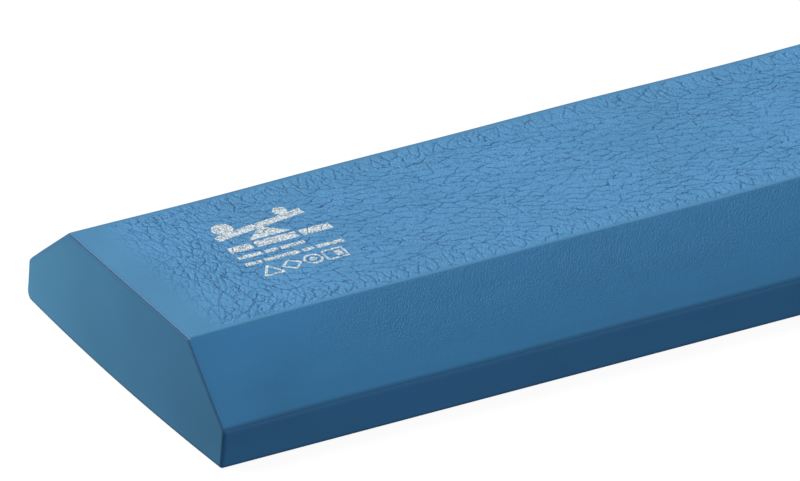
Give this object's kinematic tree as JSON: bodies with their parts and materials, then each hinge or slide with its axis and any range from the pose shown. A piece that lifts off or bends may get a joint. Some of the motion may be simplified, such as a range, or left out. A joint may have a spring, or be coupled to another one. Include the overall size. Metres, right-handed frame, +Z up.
{
  "type": "foam balance beam",
  "caption": "Long low balance beam of soft foam, with a flat base, upright lower sides, sloping bevels, square ends and a narrow textured top.",
  "frame": {"origin": "on the floor under the middle of the beam", "axes": "+X along the beam, +Y across it, +Z up from the floor to the walking surface"},
  "size_m": [1.62, 0.24, 0.06],
  "materials": {
    "core_foam": "matte closed-cell foam",
    "top_foam": "satin skin with a crackle grain",
    "bevel_foam": "satin skin with a fine wrinkle grain",
    "side_foam": "smooth satin skin",
    "end_foam": "smooth satin skin",
    "base_foam": "matte skin with a fine grain",
    "print_ink": "thin silver-grey screen print"
  },
  "bodies": {
    "root": {"foam_core": "core_foam", "top_skin": "top_foam", "front_bevel_skin": "bevel_foam", "rear_bevel_skin": "bevel_foam", "front_side_skin": "side_foam", "rear_side_skin": "side_foam", "left_end_skin": "end_foam", "right_end_skin": "end_foam", "base_skin": "base_foam"}
  },
  "joints": []
}
